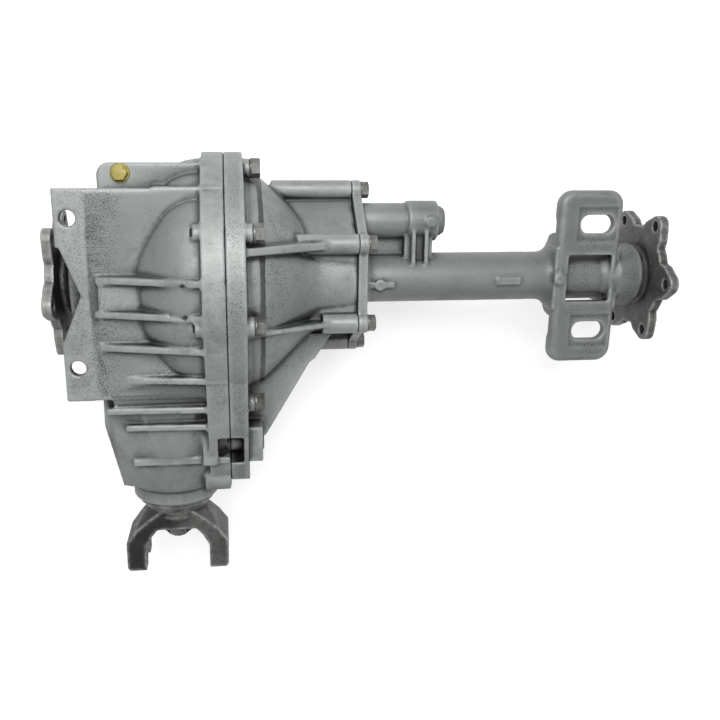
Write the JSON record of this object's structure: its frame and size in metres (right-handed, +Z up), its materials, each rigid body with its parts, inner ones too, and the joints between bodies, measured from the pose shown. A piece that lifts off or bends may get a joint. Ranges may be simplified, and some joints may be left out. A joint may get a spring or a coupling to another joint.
{
  "type": "front differential",
  "caption": "Split aluminium axle differential with ring and pinion, spider gears, lobed output flanges, an axle tube with a sliding clutch sleeve, and frame mounts.",
  "frame": {"origin": "centre of the left output flange's outer face, on the axle's axis", "axes": "+X along the axle towards the tube and the right flange, +Y away from the pinion's yoke, +Z up, square to the frame pad"},
  "size_m": [0.693, 0.492, 0.284],
  "materials": {
    "cast_aluminium": "blasted casting, slightly mottled, with bright machined faces",
    "forged_steel": "dark forging with bright turned faces",
    "gear_steel": "ground and lapped, dark grey",
    "machined_steel": "fine turned and ground",
    "zinc_steel": "dull plated grey",
    "brass": "dull yellow plating",
    "bronze": "plain bearing bronze",
    "rubber": "moulded, matte"
  },
  "bodies": {
    "housing": {"left_case": "cast_aluminium", "right_case": "cast_aluminium", "axle_tube": "cast_aluminium", "case_bolts": "zinc_steel", "case_dowels": "machined_steel", "tube_bolts": "zinc_steel", "fill_plug": "brass", "drain_plug": "zinc_steel", "actuator_port_plug": "cast_aluminium", "left_adjuster": "machined_steel", "right_adjuster": "machined_steel", "left_bearing_cup": "machined_steel", "right_bearing_cup": "machined_steel", "left_output_seal": "rubber", "intermediate_shaft_bush": "bronze", "right_shaft_bearing_outer": "machined_steel", "right_bearing_snap_ring": "machined_steel", "right_output_seal": "rubber", "pinion_inner_cup": "machined_steel", "pinion_outer_cup": "machined_steel", "pinion_seal": "rubber", "return_spring": "machined_steel"},
    "carrier": {"diff_carrier": "forged_steel", "ring_gear": "gear_steel", "ring_gear_bolts": "zinc_steel", "cross_pin": "machined_steel", "cross_pin_lock": "machined_steel", "spider_washers": "bronze", "side_washers": "bronze", "left_bearing_cone": "machined_steel", "right_bearing_cone": "machined_steel"},
    "left_roller_set": {"left_bearing_rollers": "machined_steel"},
    "right_roller_set": {"right_bearing_rollers": "machined_steel"},
    "pinion": {"pinion_gear": "gear_steel", "pinion_inner_cone": "machined_steel", "pinion_outer_cone": "machined_steel", "crush_sleeve": "machined_steel", "dust_shield": "zinc_steel", "pinion_yoke": "forged_steel", "pinion_nut": "zinc_steel"},
    "inner_roller_set": {"pinion_inner_rollers": "machined_steel"},
    "outer_roller_set": {"pinion_outer_rollers": "machined_steel"},
    "left_output": {"left_output_shaft": "forged_steel", "left_retaining_ring": "machined_steel", "side_gear_left": "gear_steel"},
    "right_side": {"side_gear_right": "gear_steel", "right_retaining_ring": "machined_steel", "intermediate_shaft": "forged_steel"},
    "upper_spider": {"spider_gear_upper": "gear_steel"},
    "lower_spider": {"spider_gear_lower": "gear_steel"},
    "right_output": {"right_output_shaft": "forged_steel", "right_shaft_bearing_inner": "machined_steel"},
    "ball_set": {"right_shaft_bearing_balls": "machined_steel"},
    "fork": {"shift_fork": "machined_steel", "shift_rod": "machined_steel"},
    "sleeve": {"shift_sleeve": "machined_steel"}
  },
  "joints": [
    {"name": "carrier_spin", "type": "hinge", "parent": "housing", "child": "carrier", "pos_m": [0.123, 0, 0], "axis": [1, 0, 0], "continuous": true},
    {"name": "pinion_spin", "type": "hinge", "parent": "housing", "child": "pinion", "pos_m": [0.123, 0, 0], "axis": [0, 1, 0], "continuous": true},
    {"name": "left_rollers_roll", "type": "hinge", "parent": "housing", "child": "left_roller_set", "pos_m": [0.057, 0, 0], "axis": [1, 0, 0], "continuous": true},
    {"name": "right_rollers_roll", "type": "hinge", "parent": "housing", "child": "right_roller_set", "pos_m": [0.215, 0, 0], "axis": [1, 0, 0], "continuous": true},
    {"name": "inner_rollers_roll", "type": "hinge", "parent": "housing", "child": "inner_roller_set", "pos_m": [0.123, -0.135, 0], "axis": [0, 1, 0], "continuous": true},
    {"name": "outer_rollers_roll", "type": "hinge", "parent": "housing", "child": "outer_roller_set", "pos_m": [0.123, -0.228, 0], "axis": [0, 1, 0], "continuous": true},
    {"name": "left_output_spin", "type": "hinge", "parent": "carrier", "child": "left_output", "pos_m": [0.123, 0, 0], "axis": [1, 0, 0], "continuous": true},
    {"name": "right_side_spin", "type": "hinge", "parent": "carrier", "child": "right_side", "pos_m": [0.123, 0, 0], "axis": [1, 0, 0], "continuous": true},
    {"name": "upper_spider_spin", "type": "hinge", "parent": "carrier", "child": "upper_spider", "pos_m": [0.123, 0, 0], "axis": [0, 0, 1], "continuous": true},
    {"name": "lower_spider_spin", "type": "hinge", "parent": "carrier", "child": "lower_spider", "pos_m": [0.123, 0, 0], "axis": [0, 0, 1], "continuous": true},
    {"name": "right_output_spin", "type": "hinge", "parent": "housing", "child": "right_output", "pos_m": [0.653, 0, 0], "axis": [1, 0, 0], "continuous": true},
    {"name": "balls_roll", "type": "hinge", "parent": "housing", "child": "ball_set", "pos_m": [0.653, 0, 0], "axis": [1, 0, 0], "continuous": true},
    {"name": "shift_slide", "type": "slide", "parent": "housing", "child": "fork", "axis": [-1, 0, 0], "range_m": [0, 0.015], "stiffness_N_per_m": 1200, "springref_m": -0.01, "deforming": ["return_spring"]},
    {"name": "sleeve_slide", "type": "slide", "parent": "right_output", "child": "sleeve", "axis": [-1, 0, 0], "range_m": [0, 0.015]}
  ],
  "couplings": [
    {"joint": "pinion_spin", "follows": "carrier_spin", "ratio": 3.7273},
    {"joint": "left_rollers_roll", "follows": "carrier_spin", "ratio": 0.4427},
    {"joint": "right_rollers_roll", "follows": "carrier_spin", "ratio": 0.4427},
    {"joint": "inner_rollers_roll", "follows": "carrier_spin", "ratio": 1.6288},
    {"joint": "outer_rollers_roll", "follows": "carrier_spin", "ratio": 1.612},
    {"joint": "right_side_spin", "follows": "left_output_spin", "ratio": -1},
    {"joint": "upper_spider_spin", "follows": "left_output_spin", "ratio": 1.6},
    {"joint": "lower_spider_spin", "follows": "left_output_spin", "ratio": -1.6},
    {"joint": "balls_roll", "follows": "right_output_spin", "ratio": 0.4167},
    {"joint": "sleeve_slide", "follows": "shift_slide", "ratio": 1}
  ]
}
